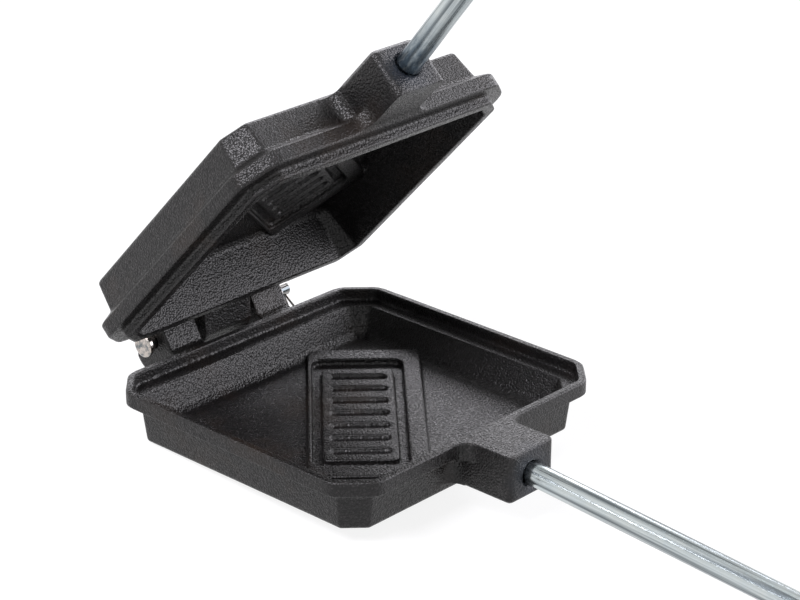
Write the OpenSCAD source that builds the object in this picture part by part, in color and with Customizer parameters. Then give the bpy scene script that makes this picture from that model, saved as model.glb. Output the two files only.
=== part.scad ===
// Pie iron for an open fire: two square cast-iron pans on a pinned hinge.
// Each pan has a long plated steel rod with a turned wooden grip at its end.
// Both halves are drawn with their parting face at z = 0 and the hollow upwards. The upper
// one is flipped over onto the lower one and swung open about the hinge, and the whole is
// then set down on the lower pan's back edge and the lower grip. Sizes are millimetres.

/* [Pans] */
// Length of a pan's rim, hinge side to rod side
pan_l = 117; // [96:1:140]
// Width of a pan's rim
pan_w = 123; // [100:1:148]
// Depth of the lower pan, outer base to parting face
lower_d = 20; // [18:0.5:24]
// Depth of the upper pan, outer base to parting face
upper_d = 19; // [18:0.5:24]
// Depth of the cavity's floor behind the parting face
cavity_d = 14.6; // [13:0.2:15.6]
// Leg of the cut across each corner of the rim
corner_cut = 10.6; // [9:0.1:14]
// Rounding of the rim's outline beside each corner cut
corner_r = 7; // [5:0.5:9]
// Height of the flange's upright edge
flange_h = 5.2; // [4.4:0.1:6]
// Height of the slope under the flange
flange_slope = 2.6; // [1.5:0.1:3.5]
// Overhang of the flange beyond the outer wall
flange_out = 5.2; // [3.5:0.1:5.5]
// Draft of the outer wall, from the flange down to the base
wall_draft = 1.4; // [0.8:0.1:2]
// Chamfer round the edge of the base
base_edge = 0.8; // [0.5:0.1:2]
// Chamfer round the outer edge of the parting face
rim_edge = 0.5; // [0.2:0.1:1]
// Inward slope of the cavity's wall, from its mouth down to the floor
cavity_slope = 5; // [3:0.1:6]

/* [Lip and rebate] */
// Width of the rim's flat top outside the rebate
rim_w = 2.8; // [2:0.1:4]
// Depth of the rebate that takes the upper pan's lip
rebate_d = 4.5; // [4.2:0.1:5.5]
// Width of the ledge at the rebate's bottom
ledge_w = 5.2; // [4.8:0.1:6.5]
// Gap between the lip and the rebate's wall
lip_gap = 2.4; // [1:0.1:2.8]
// Thickness of the lip at its edge
lip_w = 4.1; // [3.4:0.1:4.6]
// Height of the lip below the upper pan's parting face
lip_h = 3.4; // [2.5:0.1:3.8]
// Gap between the two parting faces when the iron is closed
parting_gap = 0.3; // [0.2:0.1:0.8]

/* [Pattern pad] */
// Length of the raised pad on each floor
pad_l = 98; // [80:1:104]
// Width of the pad
pad_w = 40; // [34:1:42]
// Height of the pad above the floor
pad_h = 2.4; // [1.6:0.2:3]
// Width of the raised border along the pad's sides, were its recess in the middle
pad_border = 4; // [3.5:0.1:5]
// Width of the border at the pad's ends
pad_end = 8; // [5:0.5:10]
// Shift of the recess inside the border, across the pad
recess_shift = 2.4; // [0:0.1:2.6]
// Width of the moat inside the border
pad_moat = 3.4; // [2.5:0.1:4]
// Width of the moat at the end of the field towards the hinge
pad_end_moat = 8; // [3:0.5:9]
// Offset of the pad's centre from the pan's centre, both ways in plan
pad_offset = 2.2; // [0:0.1:2.5]
// Number of round-ended grooves across the pad's field
groove_count = 7; // [3:1:8]
// Width of a groove
groove_w = 4.2; // [3:0.2:5]
// Depth of a groove
groove_d = 1.3; // [0.8:0.1:1.5]

/* [Hinge] */
// Distance of the hinge axis behind the rim
hinge_back = 12.5; // [12:0.1:16]
// Height of the hinge axis above the lower pan's parting face
hinge_rise = 0.2; // [0:0.1:0.5]
// Radius of the hinge knuckles
knuckle_r = 8.2; // [7.6:0.1:8.8]
// Radius of the heel under each of the lower pan's lugs
heel_r = 10.1; // [9:0.1:10.5]
// Width of the upper pan's knuckle
knuckle_w = 22; // [16:1:28]
// Width of each of the lower pan's two lugs
lug_w = 14.8; // [10:0.2:18]
// Side gap between the knuckle and each lug
knuckle_gap = 2.5; // [1:0.1:4]
// Diameter of the hinge pin
pin_d = 4.76; // [4:0.02:6]
// Diameter of the pin's head
pin_head_d = 8.6; // [7:0.1:10]
// Thickness of the pin's head
pin_head_t = 2; // [1.2:0.1:2.5]
// Gap between the pin's head and the lug beside it
head_gap = 3; // [0.2:0.1:4]
// Length of the pin beyond the washer
pin_tail = 7; // [6:0.5:9]
// Thickness of the washer
washer_t = 1.4; // [1:0.1:2]
// Diameter of the washer
washer_d = 11.5; // [10:0.5:13]
// Diameter of the cotter pin's shank
cotter_d = 1.5; // [1.2:0.1:1.8]
// Turn of the cotter pin about the hinge pin, its legs towards the pan
cotter_turn = 40; // [0:5:60]
// Angle between the closed and the drawn position of the upper half
open_angle = 47; // [0:0.1:170]

/* [Rods and bosses] */
// Diameter of a rod
rod_d = 7.94; // [6.4:0.02:9.4]
// Reach from the end of the boss to the tail of the grip
rod_reach = 555; // [380:5:700]
// Outward pitch of a rod from the parting plane
rod_pitch = 4.2; // [2:0.1:6]
// Length of the boss beyond the rim
boss_l = 19.4; // [15:0.1:26]
// Width of the boss
boss_w = 21.2; // [18:0.2:24]
// Height of the boss
boss_h = 17.6; // [16:0.2:17.8]
// Depth of the upper boss's face behind its parting face
boss_relief = 1; // [0:0.1:1.5]
// Radius of the fillets where a boss meets its pan
boss_fillet = 5.5; // [3:0.5:7]
// Depth of the rod's socket in the boss
socket_depth = 22; // [14:1:24]

/* [Grips] */
// Length of the wooden grip, ferrule to tail
grip_l = 132; // [100:1:160]
// Greatest diameter of the grip
grip_d = 25.4; // [22:0.2:32]
// Length of the ferrule
ferrule_l = 16; // [12:1:22]
// Outer diameter of the ferrule
ferrule_d = 17; // [15:0.2:19]
// Wall thickness of the ferrule
ferrule_t = 0.8; // [0.6:0.1:1.2]
// Diameter of the pin across the grip
cross_pin_d = 3; // [2.4:0.1:3.6]

/* [Hidden] */
$fn = 64;
bite = 0.5;
running_fit = 0.05;
close_fit = 0.03;
end_play = 0.3;
arc_steps = 4;
wall_in = flange_out;
base_in = flange_out + wall_draft;
lip_in = rim_w + lip_gap;
ledge_in = rim_w + ledge_w;
cavity_foot = 1.6;
flange_under = flange_h + flange_slope;
hinge_x = -pan_l / 2 - hinge_back;
lug_y = knuckle_w / 2 + knuckle_gap + lug_w / 2;
lug_out = lug_y + lug_w / 2;
boss_x = pan_l / 2 + boss_l;
socket_d = rod_d + 2 * close_fit;
pin_end = lug_out + end_play + washer_t + pin_tail;
cotter_y = pin_end - 2.4;
grip_start = rod_reach - grip_l;
grip_swell = 12;
grip_tail_r = 7.5;
swell_steps = 12;
tail_steps = 8;
rod_end = rod_reach - 14;
cross_pin_s = rod_reach - 0.62 * grip_l;

// The whole lies tilted: the pan's back edge and the grip's lower side touch the ground.
heel_x = -(pan_l / 2 - base_in - base_edge);
ground_s = rod_reach - grip_swell;
ground_x = boss_x + ground_s * cos(rod_pitch) - grip_d / 2 * sin(rod_pitch);
ground_z = -boss_h / 2 - ground_s * sin(rod_pitch) - grip_d / 2 * cos(rod_pitch);
rest_tilt = atan2(-lower_d - ground_z, ground_x - heel_x);
lift = lower_d * cos(rest_tilt) - heel_x * sin(rest_tilt);
back_x = hinge_x * cos(rest_tilt) - hinge_rise * sin(rest_tilt) - knuckle_r;
tail_x = (boss_x + rod_reach * cos(rod_pitch)) * cos(rest_tilt)
  + (boss_h / 2 + rod_reach * sin(rod_pitch)) * sin(rest_tilt)
  + grip_tail_r * abs(sin(rod_pitch - rest_tilt));
origin_x = (back_x + tail_x) / 2;

// Points on an arc about a centre, from one angle to another.
function arc(x, y, r, from, to, steps) =
  [for (i = [0:steps]) let (a = from + (to - from) * i / steps) [x + r * cos(a), y + r * sin(a)]];

// One quarter of the pan's outline: a rectangle's corner with a cut across it, both ends rounded.
function outline_quarter(inset) =
  let (a = pan_l / 2 - inset, b = pan_w / 2 - inset)
  let (cut = corner_cut - inset * (2 - sqrt(2)))
  let (r = max(corner_r - inset, 1.2))
  let (t = r * tan(22.5))
  concat(arc(a - r, b - cut - t, r, 0, 45, arc_steps), arc(a - cut - t, b - r, r, 45, 90, arc_steps));

// The pan's outline, drawn in by an inset.
function outline(inset) =
  let (q = outline_quarter(inset), n = len(q) - 1)
  concat(q, [for (i = [n:-1:0]) [-q[i].x, q[i].y]], [for (p = q) -p], [for (i = [n:-1:0]) [q[i].x, -q[i].y]]);

// A rectangle with rounded corners, centred.
function rounded(l, w, r) = concat(
  arc(l / 2 - r, w / 2 - r, r, 0, 90, arc_steps), arc(r - l / 2, w / 2 - r, r, 90, 180, arc_steps),
  arc(r - l / 2, r - w / 2, r, 180, 270, arc_steps), arc(l / 2 - r, r - w / 2, r, 270, 360, arc_steps));

// Outline of the boss in plan, from inside the pan's wall to the boss's end.
function boss_plan(inset) =
  let (r = 2 - inset / 2, x = boss_x - inset, y = boss_w / 2 - inset, x0 = pan_l / 2 - base_in - bite)
  concat([[x0, -y]], arc(x - r, r - y, r, 270, 360, arc_steps), arc(x - r, y - r, r, 0, 90, arc_steps), [[x0, y]]);

// Radius of the grip at a distance from its front end: a slim neck that swells to the tail.
function grip_radius(s) =
  let (u = min(s / (grip_l - grip_swell), 1))
  ferrule_d / 2 + (grip_d - ferrule_d) / 2 * (0.5 - 0.5 * cos(180 * pow(u, 0.8)));

// A closed solid through a stack of like polygons: each ring is [polygon, height], the lowest first.
module loft(rings) {
  n = len(rings[0][0]);
  top = n * (len(rings) - 1);
  polyhedron(
    points = [for (ring = rings) for (p = ring[0]) [p.x, p.y, ring[1]]],
    faces = concat([[for (i = [0:n - 1]) i]], [[for (i = [n - 1:-1:0]) top + i]],
      [for (k = [0:n:top - n]) for (i = [0:n - 1]) let (j = (i + 1) % n) [k + i, k + n + i, k + n + j, k + j]]));
}

// The body of a pan as a solid block, its base at the given depth below the parting face.
module pan_block(depth) loft([
  [outline(base_in + base_edge), -depth],
  [outline(base_in), base_edge - depth],
  [outline(wall_in), -flange_under],
  [outline(0), -flange_h],
  [outline(0), -rim_edge],
  [outline(rim_edge), 0]]);

// The cavity, from the floor to a mouth with the given inset and height, and on past it.
module cavity(inset, mouth_z) {
  floor_in = inset + cavity_slope;
  loft([
    [outline(floor_in + cavity_foot), -cavity_d],
    [outline(floor_in - cavity_slope * cavity_foot / (mouth_z + cavity_d)), cavity_foot - cavity_d],
    [outline(inset), mouth_z],
    [outline(inset), mouth_z + bite]]);
}

// The raised pad: a border, a moat and a field with plain round-ended grooves. It runs from
// corner to corner, and its ends die into the cavity's wall.
module pad() intersection() {
  recess_l = pad_l - 2 * pad_end;
  recess_w = pad_w - 2 * pad_border;
  field_l = recess_l - pad_moat - pad_end_moat;
  field_w = recess_w - 2 * pad_moat;
  pitch = field_l / (groove_count + 0.4);
  translate([0, 0, -cavity_d - bite]) linear_extrude(pad_h + 2 * bite) polygon(outline(ledge_in + 2));
  translate([pad_offset, pad_offset, -cavity_d - bite]) rotate(-45) {
    linear_extrude(pad_h + bite) difference() {
      polygon(rounded(pad_l, pad_w, 5));
      translate([0, -recess_shift]) polygon(rounded(recess_l, recess_w, 3.6));
    }
    translate([(pad_end_moat - pad_moat) / 2, -recess_shift]) difference() {
      linear_extrude(pad_h + bite) polygon(rounded(field_l, field_w, 2.4));
      for (i = [0:groove_count - 1])
        translate([(i - (groove_count - 1) / 2) * pitch, 0, pad_h + bite - groove_d])
          linear_extrude(groove_d + bite)
            polygon(rounded(groove_w, field_w - 5, groove_w / 2 - 0.01));
    }
  }
}

// A concave corner in plan, tangent to the faces at x and y.
module plan_fillet(x, y, r) polygon(concat([[x - bite, y - bite]], [[x - bite, y + r]],
  arc(x + r, y + r, r, 180, 270, 2 * arc_steps), [[x + r, y - bite]]));

// The boss that holds the rod, with fillets on both sides. The relief sets it back.
module boss(relief) {
  low = -relief - boss_h;
  split = -flange_h - flange_slope / 2;
  loft([[boss_plan(2), low], [boss_plan(0), low + 1.6], [boss_plan(0), -relief]]);
  for (side = [0, 1]) mirror([0, side, 0]) {
    translate([0, 0, split]) linear_extrude(-relief - split)
      plan_fillet(pan_l / 2, boss_w / 2, boss_fillet);
    translate([0, 0, low + 0.8]) linear_extrude(split - low)
      plan_fillet(pan_l / 2 - (wall_in + base_in) / 2, boss_w / 2, boss_fillet);
  }
}

// Side outline of a knuckle: a round barrel, a squared shoulder and a web to the pan.
module knuckle_side() {
  face = hinge_back - 1;
  web = hinge_back + wall_in + 1;
  circle(r = knuckle_r);
  polygon([[0, -knuckle_r], [web, -knuckle_r], [web, -1.4], [face, -1.4], [face, 0.4],
    [face - 6.2, 6.6], [face - 7, 7.1], [face - 8.2, 7.4], [0, knuckle_r]]);
}

// The fuller underside of a lug, square at the back.
module heel_side() {
  back = -knuckle_r - 0.1;
  x = 0.5;
  z = -3;
  web = hinge_back + wall_in + 1;
  polygon(concat([[web, z], [0, 0], [-knuckle_r, 0]],
    arc(x, z, heel_r, 180 + acos((x - back) / heel_r), 270, 2 * arc_steps), [[web, z - heel_r]]));
}

module knuckle(y, w, axis_z) translate([hinge_x, y, axis_z]) rotate([90, 0, 0])
  linear_extrude(w, center = true) knuckle_side();

module lug(y) {
  knuckle(y, lug_w, hinge_rise);
  translate([hinge_x, y, hinge_rise]) rotate([90, 0, 0]) linear_extrude(lug_w, center = true) heel_side();
}

// A hole right through the hinge, along its axis.
module hinge_bore(axis_z) translate([hinge_x, 0, axis_z]) rotate([90, 0, 0])
  cylinder(r = pin_d / 2 + running_fit, h = 4 * lug_out, center = true);

// Puts what is drawn along +Z on the rod's axis, with z = 0 at the end of the boss.
module on_rod(relief) translate([boss_x, 0, -relief - boss_h / 2]) rotate([0, 90 + rod_pitch, 0]) children();

module socket(relief) on_rod(relief) {
  translate([0, 0, -socket_depth]) cylinder(d = socket_d, h = socket_depth + 5);
  translate([0, 0, -0.6]) cylinder(d = socket_d + 1.6, h = 5);
}

module lower_casting() difference() {
  union() {
    difference() {
      union() {
        pan_block(lower_d);
        boss(0);
        lug(-lug_y);
        lug(lug_y);
      }
      cavity(ledge_in, -rebate_d);
      translate([0, 0, -rebate_d]) linear_extrude(rebate_d + bite) polygon(outline(rim_w));
    }
    pad();
  }
  socket(0);
  hinge_bore(hinge_rise);
}

module upper_casting() difference() {
  union() {
    difference() {
      union() {
        pan_block(upper_d);
        boss(boss_relief);
        knuckle(0, knuckle_w, parting_gap - hinge_rise);
        translate([0, 0, -bite]) linear_extrude(lip_h + bite) polygon(outline(lip_in));
      }
      cavity(lip_in + lip_w, lip_h);
    }
    pad();
  }
  socket(boss_relief);
  hinge_bore(parting_gap - hinge_rise);
}

// Rod with a hole across its tail for the grip's pin.
module rod(relief) on_rod(relief) difference() {
  rotate_extrude() polygon([[0, -socket_depth], [rod_d / 2 - 1, -socket_depth],
    [rod_d / 2, 1 - socket_depth], [rod_d / 2, rod_end - 1], [rod_d / 2 - 1, rod_end], [0, rod_end]]);
  translate([0, 0, cross_pin_s]) rotate([90, 0, 0])
    cylinder(d = cross_pin_d + 2 * close_fit, h = 2 * rod_d, center = true);
}

// Turned wooden grip, bored for the rod, with a tenon for the ferrule.
module grip(relief) on_rod(relief) difference() {
  tenon_r = ferrule_d / 2 - ferrule_t - close_fit;
  body = grip_l - grip_swell;
  translate([0, 0, grip_start]) rotate_extrude() polygon(concat(
    [[0, 1 - ferrule_l], [tenon_r, 1 - ferrule_l], [tenon_r, 0]],
    [for (i = [0:swell_steps]) [grip_radius(body * i / swell_steps), body * i / swell_steps]],
    [for (i = [1:tail_steps]) let (a = 90 * i / tail_steps)
      [grip_tail_r + (grip_d / 2 - grip_tail_r) * cos(a), body + grip_swell * sin(a)]],
    [[0, grip_l]]));
  cylinder(d = socket_d, h = rod_end);
  translate([0, 0, cross_pin_s]) rotate([90, 0, 0])
    cylinder(d = cross_pin_d + 2 * close_fit, h = 2 * grip_d, center = true);
}

// Pressed steel cap over the grip's tenon, with a hole for the rod.
module ferrule(relief) on_rod(relief) translate([0, 0, grip_start - ferrule_l]) difference() {
  rotate_extrude() polygon([[0, 0], [ferrule_d / 2 - 2.2, 0], [ferrule_d / 2 - 0.6, 0.7],
    [ferrule_d / 2, 2.4], [ferrule_d / 2, ferrule_l], [0, ferrule_l]]);
  translate([0, 0, 1]) cylinder(r = ferrule_d / 2 - ferrule_t, h = ferrule_l);
  translate([0, 0, -1]) cylinder(d = socket_d, h = 3);
}

// Straight pin across the grip and the rod.
module cross_pin(relief) on_rod(relief) translate([0, 0, cross_pin_s]) rotate([90, 0, 0])
  cylinder(d = cross_pin_d, h = 2 * grip_radius(cross_pin_s - grip_start) - 0.2, center = true);

// Puts what is drawn along +Z on the hinge axis, with z = 0 at the pans' middle plane.
module on_hinge() translate([hinge_x, 0, hinge_rise]) rotate([-90, 0, 0]) children();

// Headed pin with a hole for the cotter near its tail.
module clevis_pin() on_hinge() difference() {
  head_z = -lug_out - head_gap;
  rotate_extrude() polygon([[0, head_z - pin_head_t], [pin_head_d / 2 - 0.5, head_z - pin_head_t],
    [pin_head_d / 2, head_z - pin_head_t + 0.5], [pin_head_d / 2, head_z], [pin_d / 2, head_z],
    [pin_d / 2, pin_end - 0.6], [pin_d / 2 - 0.6, pin_end], [0, pin_end]]);
  translate([0, 0, cotter_y]) rotate([0, 0, -cotter_turn]) rotate([90, 0, 0])
    cylinder(d = cotter_d + 2 * running_fit, h = 2 * pin_d, center = true);
}

module washer() on_hinge() translate([0, 0, lug_out + end_play]) difference() {
  cylinder(d = washer_d, h = washer_t);
  translate([0, 0, -1]) cylinder(d = pin_d + 0.5, h = washer_t + 2);
}

// Split pin: an eye above the hinge pin, a shank through it and two legs spread below.
module split_pin() on_hinge() translate([0, 0, cotter_y]) rotate([0, 0, -cotter_turn]) rotate([90, 0, 0]) {
  shank = pin_d / 2 + 0.8;
  eye_r = 1.5;
  leg_d = 0.8 * cotter_d;
  leg_l = 5.5;
  spread = 16;
  cylinder(d = cotter_d, h = 2 * shank, center = true);
  translate([0, 0, shank + eye_r]) rotate([90, 0, 0]) rotate_extrude()
    translate([eye_r, 0]) circle(d = leg_d);
  for (side = [-1, 1]) translate([0, 0, -shank]) rotate([0, 180 + side * spread, 0]) {
    cylinder(d = leg_d, h = leg_l);
    sphere(d = leg_d);
  }
}

// Sets the closed iron down on the ground, with the origin under the middle of its box.
module set_down() translate([-origin_x, 0, lift]) rotate([0, -rest_tilt, 0]) children();

// Turns a half over onto the lower one and swings it open.
module upper() set_down() translate([hinge_x, 0, hinge_rise]) rotate([0, -open_angle, 0])
  translate([-hinge_x, 0, parting_gap - hinge_rise]) mirror([0, 0, 1]) children();

iron = [0.15, 0.15, 0.16];
zinc = [0.72, 0.75, 0.78];
wood = [0.68, 0.46, 0.26];

module lower_pan() color(iron) set_down() lower_casting();
module upper_pan() color(iron) upper() upper_casting();
module hinge_pin() color(zinc) set_down() clevis_pin();
module hinge_washer() color(zinc) set_down() washer();
module cotter_pin() color(zinc) set_down() split_pin();
module lower_rod() color(zinc) set_down() rod(0);
module upper_rod() color(zinc) upper() rod(boss_relief);
module lower_ferrule() color(zinc) set_down() ferrule(0);
module upper_ferrule() color(zinc) upper() ferrule(boss_relief);
module lower_grip() color(wood) set_down() grip(0);
module upper_grip() color(wood) upper() grip(boss_relief);
module lower_grip_pin() color(zinc) set_down() cross_pin(0);
module upper_grip_pin() color(zinc) upper() cross_pin(boss_relief);

lower_pan();
upper_pan();
hinge_pin();
hinge_washer();
cotter_pin();
lower_rod();
upper_rod();
lower_ferrule();
upper_ferrule();
lower_grip();
upper_grip();
lower_grip_pin();
upper_grip_pin();
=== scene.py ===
"""Pie iron: the looks of two cast pans on a pinned hinge, with plated rods and turned wooden grips.

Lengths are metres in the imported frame. Each half is made in its own pan axes, where the parting
face is at z = 0 and the hollow opens upwards, and is then carried to its place by a matrix.
"""
import math

import bmesh
import bpy
from mathutils import Matrix, Vector


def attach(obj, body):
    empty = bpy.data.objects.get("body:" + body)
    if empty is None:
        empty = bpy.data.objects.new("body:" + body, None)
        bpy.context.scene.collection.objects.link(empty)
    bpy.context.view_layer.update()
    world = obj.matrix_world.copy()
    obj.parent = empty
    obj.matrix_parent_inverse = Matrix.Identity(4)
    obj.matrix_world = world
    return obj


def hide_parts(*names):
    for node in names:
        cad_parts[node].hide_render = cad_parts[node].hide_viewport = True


bl_info = {
    "name": "Pie Iron",
    "version": (1, 0, 0),
    "blender": (4, 5, 0),
    "location": "3D View > Sidebar > Pie Iron",
    "description": "Builds the cast pans, rods, hinge and grips of a pie iron on its packed frame",
    "category": "Add Mesh",
}

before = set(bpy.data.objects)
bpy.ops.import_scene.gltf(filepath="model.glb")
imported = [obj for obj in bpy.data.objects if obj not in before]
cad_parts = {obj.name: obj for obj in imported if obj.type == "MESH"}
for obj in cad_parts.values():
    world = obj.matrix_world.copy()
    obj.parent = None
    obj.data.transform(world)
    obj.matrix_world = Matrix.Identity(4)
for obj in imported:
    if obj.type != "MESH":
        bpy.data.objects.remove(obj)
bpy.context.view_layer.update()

MM = 0.001
LOWER, UPPER = "lower_half", "upper_half"

# How the halves stand, as the part's source has it.
REST_TILT = math.radians(3.52379)
ORIGIN_X = 277.133 * MM
LIFT = 23.1029 * MM
HINGE_X, HINGE_RISE = -71 * MM, 0.2 * MM
PARTING_GAP = 0.3 * MM
OPEN_ANGLE = math.radians(47)

# Sizes of the rods, the hinge and the grips, as the part's source has them.
BOSS_X, BOSS_H, BOSS_RELIEF = 77.9 * MM, 17.6 * MM, 1 * MM
ROD_PITCH = math.radians(4.2)
ROD_R, SOCKET_DEPTH, ROD_END, ROD_REACH = 3.97 * MM, 22 * MM, 541 * MM, 555 * MM
LUG_OUT, PIN_END, PIN_R = 28.3 * MM, 37 * MM, 2.38 * MM
PIN_HEAD_R, PIN_HEAD_T, HEAD_GAP = 4.3 * MM, 2 * MM, 3 * MM
WASHER_R, WASHER_T, END_PLAY = 5.75 * MM, 1.4 * MM, 0.3 * MM
COTTER_Y, COTTER_TURN = 34.6 * MM, math.radians(40)
GRIP_L, GRIP_R, GRIP_SWELL, GRIP_TAIL_R = 132 * MM, 12.7 * MM, 12 * MM, 7.5 * MM
FERRULE_L, FERRULE_R, FERRULE_T = 16 * MM, 8.5 * MM, 0.8 * MM


def set_down():
    """Matrix from the lower pan's axes to the frame."""
    return Matrix.Translation((-ORIGIN_X, 0, LIFT)) @ Matrix.Rotation(-REST_TILT, 4, "Y")


def swung_open():
    """Matrix from the upper pan's axes to the frame. It mirrors, because that half is flipped over."""
    return (
        set_down()
        @ Matrix.Translation((HINGE_X, 0, HINGE_RISE))
        @ Matrix.Rotation(-OPEN_ANGLE, 4, "Y")
        @ Matrix.Translation((-HINGE_X, 0, PARTING_GAP - HINGE_RISE))
        @ Matrix.Scale(-1, 4, (0, 0, 1))
    )


def rod_axis(half):
    """Matrix from a rod's own axes, +Z towards the grip and z = 0 at the boss's end, to the frame."""
    turn, relief = (set_down(), 0) if half == LOWER else (swung_open(), BOSS_RELIEF)
    local = (
        Matrix.Translation((BOSS_X, 0, -relief - BOSS_H / 2))
        @ Matrix.Rotation(math.pi / 2 + ROD_PITCH, 4, "Y")
    )
    place = turn @ local
    along = (place.to_3x3() @ Vector((0, 0, 1))).normalized()
    across = Vector((0, 1, 0))
    axes = Matrix((across.cross(along), across, along)).transposed().to_4x4()
    return Matrix.Translation(place.translation) @ axes


def hinge_axis():
    """Matrix from the hinge pin's own axes, +Z towards the cotter, to the frame."""
    return (
        set_down()
        @ Matrix.Translation((HINGE_X, 0, HINGE_RISE))
        @ Matrix.Rotation(-math.pi / 2, 4, "X")
    )


# Small tools for meshes.

NO_RADIUS = 1e-7
CORNER_SHARE = 0.45


def new_object(name, mesh):
    piece = bpy.data.objects.new(name, mesh)
    bpy.context.scene.collection.objects.link(piece)
    return piece


def evaluated_mesh(piece):
    """A plain mesh of a piece as its modifiers or its curve make it."""
    graph = bpy.context.evaluated_depsgraph_get()
    return bpy.data.meshes.new_from_object(piece.evaluated_get(graph))


def freeze(piece):
    """Turns a piece's modifiers into its plain mesh."""
    mesh, old = evaluated_mesh(piece), piece.data
    piece.modifiers.clear()
    piece.data = mesh
    mesh.name = piece.name
    bpy.data.meshes.remove(old)


def finish_piece(piece, half, material, replaced, sharp):
    """Gives a piece its shading, material and body, and hides the node it replaces.

    Edges over sharp degrees stay sharp, and with 0 none does.
    """
    mesh = piece.data
    mesh.shade_smooth()
    if sharp:
        mesh.set_sharp_from_angle(angle=math.radians(sharp))
    mesh.materials.clear()
    mesh.materials.append(material)
    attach(piece, half)
    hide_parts(replaced)


def fillets(points, radius, steps=5):
    """A profile with each inner corner rounded to a radius, or to what its sides leave room for."""
    out = [points[0]]
    for before, corner, after in zip(points, points[1:], points[2:]):
        middle = Vector(corner)
        a, b = Vector(before) - middle, Vector(after) - middle
        reach = min(radius / math.tan(a.angle(b) / 2), CORNER_SHARE * a.length, CORNER_SHARE * b.length)
        start, end = middle + a.normalized() * reach, middle + b.normalized() * reach
        for i in range(steps + 1):
            t = i / steps
            out.append(tuple((1 - t) ** 2 * start + 2 * t * (1 - t) * middle + t * t * end))
    return out + [points[-1]]


def lathe(name, profile, place, sides):
    """A turned solid. Its profile of (radius, height) starts and ends on the axis, or closes as a ring."""
    bm = bmesh.new()
    rings = []
    for radius, height in profile:
        if radius < NO_RADIUS:
            rings.append([bm.verts.new((0, 0, height))])
        else:
            rings.append([
                bm.verts.new((radius * math.cos(a), radius * math.sin(a), height))
                for a in (2 * math.pi * i / sides for i in range(sides))
            ])
    closed = len(rings[0]) > 1
    for low, high in zip(rings, rings[1:] + rings[:1] if closed else rings[1:]):
        for i in range(sides):
            j = (i + 1) % sides
            corners = [low[i % len(low)], low[j % len(low)], high[j % len(high)], high[i % len(high)]]
            bm.faces.new(list(dict.fromkeys(corners)))
    bmesh.ops.recalc_face_normals(bm, faces=bm.faces)
    bm.transform(place)
    mesh = bpy.data.meshes.new(name)
    bm.to_mesh(mesh)
    bm.free()
    return new_object(name, mesh)


# Small tools for node trees.

MIX_FACTOR, MIX_FIRST, MIX_SECOND, MIX_RESULT = 0, 6, 7, 2


def add_node(tree, kind, sockets=None, **settings):
    """Adds a node. A socket's value is a number or colour, or another node's output to link."""
    node = tree.nodes.new(kind)
    for key, value in settings.items():
        setattr(node, key, value)
    for key, value in (sockets or {}).items():
        if isinstance(value, bpy.types.NodeSocket):
            tree.links.new(value, node.inputs[key])
        else:
            node.inputs[key].default_value = value
    return node


def math_node(tree, operation, *values, clamp=False):
    sockets = dict(enumerate(values))
    return add_node(tree, "ShaderNodeMath", sockets, operation=operation, use_clamp=clamp).outputs[0]


def remap(tree, value, low, high, at_low, at_high):
    """Carries low..high over to at_low..at_high, and holds the ends."""
    sockets = {0: value, 1: low, 2: high, 3: at_low, 4: at_high}
    return add_node(tree, "ShaderNodeMapRange", sockets).outputs[0]


def distance_node(tree, where, point):
    return add_node(tree, "ShaderNodeVectorMath", {0: where, 1: point}, operation="DISTANCE").outputs["Value"]


def ramp_node(tree, value, stops):
    """A colour ramp whose stops are (place, (r, g, b))."""
    node = add_node(tree, "ShaderNodeValToRGB", {"Fac": value})
    marks = node.color_ramp.elements
    while len(marks) < len(stops):
        marks.new(0.5)
    for mark, (place, colour) in zip(marks, stops):
        mark.position = place
        mark.color = (*colour, 1)
    return node.outputs["Color"]


def noise_node(tree, vector, scale, detail, roughness=0.5):
    sockets = {"Vector": vector, "Scale": scale, "Detail": detail, "Roughness": roughness}
    return add_node(tree, "ShaderNodeTexNoise", sockets).outputs["Fac"]


def mix_colours(tree, factor, first, second):
    """Mixes two colours, each an (r, g, b) or another node's output."""
    sockets = {MIX_FACTOR: factor}
    for key, value in ((MIX_FIRST, first), (MIX_SECOND, second)):
        sockets[key] = value if isinstance(value, bpy.types.NodeSocket) else (*value, 1)
    return add_node(tree, "ShaderNodeMix", sockets, data_type="RGBA").outputs[MIX_RESULT]


def shaded(share, colour):
    """A colour, darker or brighter by a share."""
    return tuple(share * part for part in colour)


def new_material(name):
    """A material with a bare Principled shader, its tree, and Object coordinates."""
    material = bpy.data.materials.new(name)
    material.use_nodes = True
    tree = material.node_tree
    tree.nodes.clear()
    shader = add_node(tree, "ShaderNodeBsdfPrincipled")
    add_node(tree, "ShaderNodeOutputMaterial", {"Surface": shader.outputs[0]})
    return material, tree, shader, add_node(tree, "ShaderNodeTexCoord").outputs["Object"]


def link_shader(tree, shader, colour, rough, height, strength, depth):
    """Links a shader's colour and roughness, and a bump of a height."""
    bump = add_node(tree, "ShaderNodeBump", {"Height": height, "Strength": strength, "Distance": depth})
    tree.links.new(colour, shader.inputs["Base Color"])
    tree.links.new(rough, shader.inputs["Roughness"])
    tree.links.new(bump.outputs[0], shader.inputs["Normal"])


def along_axis(tree, vector, place):
    """Object coordinates turned into a piece's own axes."""
    back = place.inverted()
    return add_node(tree, "ShaderNodeMapping", {
        "Vector": vector, "Rotation": back.to_euler("XYZ"), "Location": back.translation}).outputs[0]


def stretched(tree, vector, scale):
    return add_node(tree, "ShaderNodeMapping", {"Vector": vector, "Scale": scale}).outputs[0]


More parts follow.
